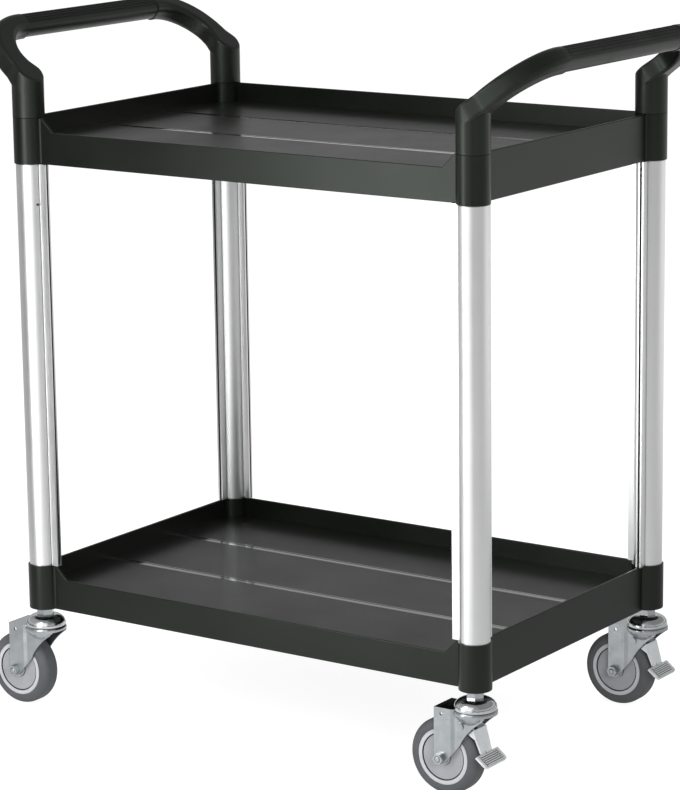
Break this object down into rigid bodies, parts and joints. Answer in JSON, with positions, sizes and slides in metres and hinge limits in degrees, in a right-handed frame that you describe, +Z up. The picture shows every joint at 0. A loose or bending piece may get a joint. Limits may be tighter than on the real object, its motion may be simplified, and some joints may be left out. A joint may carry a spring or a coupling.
{
  "type": "service cart",
  "caption": "Two-shelf service cart: deep moulded trays on round ribbed aluminium posts, push handles at both ends, swivel castors with brakes on one end.",
  "frame": {"origin": "on the floor, under the middle of the cart", "axes": "+X along the length towards the braked end, +Y from the open front towards the back, +Z up"},
  "size_m": [0.8842, 0.495, 0.9455],
  "materials": {
    "tray_plastic": "moulded black plastic with a fine satin grain",
    "handle_plastic": "moulded black plastic with a fine satin grain",
    "grip_plastic": "soft ribbed grip, dull black",
    "anodised_aluminium": "drawn tube, satin silver anodised",
    "zinc_steel": "pressed steel, bright zinc plated",
    "tyre_rubber": "grey non-marking tread, dull",
    "core_plastic": "light grey moulded rim",
    "cover_plastic": "mid grey moulded disc",
    "plug_plastic": "hidden black insert",
    "bearing_steel": "ground steel"
  },
  "bodies": {
    "cart": {"lower_tray": "tray_plastic", "upper_tray": "tray_plastic", "left_handle": "handle_plastic", "right_handle": "handle_plastic", "left_grip": "grip_plastic", "right_grip": "grip_plastic", "castor_plugs": "plug_plastic", "castor_stems": "zinc_steel", "stem_lock_nuts": "zinc_steel", "king_nuts": "zinc_steel", "race_caps": "zinc_steel", "swivel_balls": "bearing_steel", "front_left_post": "anodised_aluminium", "front_right_post": "anodised_aluminium", "rear_right_post": "anodised_aluminium", "rear_left_post": "anodised_aluminium"},
    "front_left_castor": {"front_left_fork": "zinc_steel", "front_left_axle_sleeve": "zinc_steel", "front_left_axle_bolt": "zinc_steel", "front_left_axle_nut": "zinc_steel"},
    "front_left_wheel": {"front_left_wheel_core": "core_plastic", "front_left_tyre": "tyre_rubber", "front_left_wheel_covers": "cover_plastic", "front_left_wheel_bearings": "bearing_steel"},
    "front_right_castor": {"front_right_fork": "zinc_steel", "front_right_axle_sleeve": "zinc_steel", "front_right_axle_bolt": "zinc_steel", "front_right_axle_nut": "zinc_steel", "front_right_brake_pin": "zinc_steel"},
    "front_right_wheel": {"front_right_wheel_core": "core_plastic", "front_right_tyre": "tyre_rubber", "front_right_wheel_covers": "cover_plastic", "front_right_wheel_bearings": "bearing_steel"},
    "front_right_brake": {"front_right_brake_pedal": "zinc_steel"},
    "rear_right_castor": {"rear_right_fork": "zinc_steel", "rear_right_axle_sleeve": "zinc_steel", "rear_right_axle_bolt": "zinc_steel", "rear_right_axle_nut": "zinc_steel", "rear_right_brake_pin": "zinc_steel"},
    "rear_right_wheel": {"rear_right_wheel_core": "core_plastic", "rear_right_tyre": "tyre_rubber", "rear_right_wheel_covers": "cover_plastic", "rear_right_wheel_bearings": "bearing_steel"},
    "rear_right_brake": {"rear_right_brake_pedal": "zinc_steel"},
    "rear_left_castor": {"rear_left_fork": "zinc_steel", "rear_left_axle_sleeve": "zinc_steel", "rear_left_axle_bolt": "zinc_steel", "rear_left_axle_nut": "zinc_steel"},
    "rear_left_wheel": {"rear_left_wheel_core": "core_plastic", "rear_left_tyre": "tyre_rubber", "rear_left_wheel_covers": "cover_plastic", "rear_left_wheel_bearings": "bearing_steel"}
  },
  "joints": [
    {"name": "front_left_swivel", "type": "hinge", "parent": "cart", "child": "front_left_castor", "pos_m": [-0.35, -0.219, 0.112], "axis": [0, 0, 1], "continuous": true},
    {"name": "front_left_roll", "type": "hinge", "parent": "front_left_castor", "child": "front_left_wheel", "pos_m": [-0.39, -0.219, 0.05], "axis": [0, 1, 0], "continuous": true},
    {"name": "front_right_swivel", "type": "hinge", "parent": "cart", "child": "front_right_castor", "pos_m": [0.35, -0.219, 0.112], "axis": [0, 0, 1], "continuous": true},
    {"name": "front_right_roll", "type": "hinge", "parent": "front_right_castor", "child": "front_right_wheel", "pos_m": [0.31, -0.219, 0.05], "axis": [0, 1, 0], "continuous": true},
    {"name": "front_right_brake_press", "type": "hinge", "parent": "front_right_castor", "child": "front_right_brake", "pos_m": [0.33915, -0.219, 0.09629], "axis": [0, 1, 0], "range_deg": [0, 7.5]},
    {"name": "rear_right_swivel", "type": "hinge", "parent": "cart", "child": "rear_right_castor", "pos_m": [0.35, 0.219, 0.112], "axis": [0, 0, 1], "continuous": true},
    {"name": "rear_right_roll", "type": "hinge", "parent": "rear_right_castor", "child": "rear_right_wheel", "pos_m": [0.31, 0.219, 0.05], "axis": [0, 1, 0], "continuous": true},
    {"name": "rear_right_brake_press", "type": "hinge", "parent": "rear_right_castor", "child": "rear_right_brake", "pos_m": [0.33915, 0.219, 0.09629], "axis": [0, 1, 0], "range_deg": [0, 7.5]},
    {"name": "rear_left_swivel", "type": "hinge", "parent": "cart", "child": "rear_left_castor", "pos_m": [-0.35, 0.219, 0.112], "axis": [0, 0, 1], "continuous": true},
    {"name": "rear_left_roll", "type": "hinge", "parent": "rear_left_castor", "child": "rear_left_wheel", "pos_m": [-0.39, 0.219, 0.05], "axis": [0, 1, 0], "continuous": true}
  ]
}
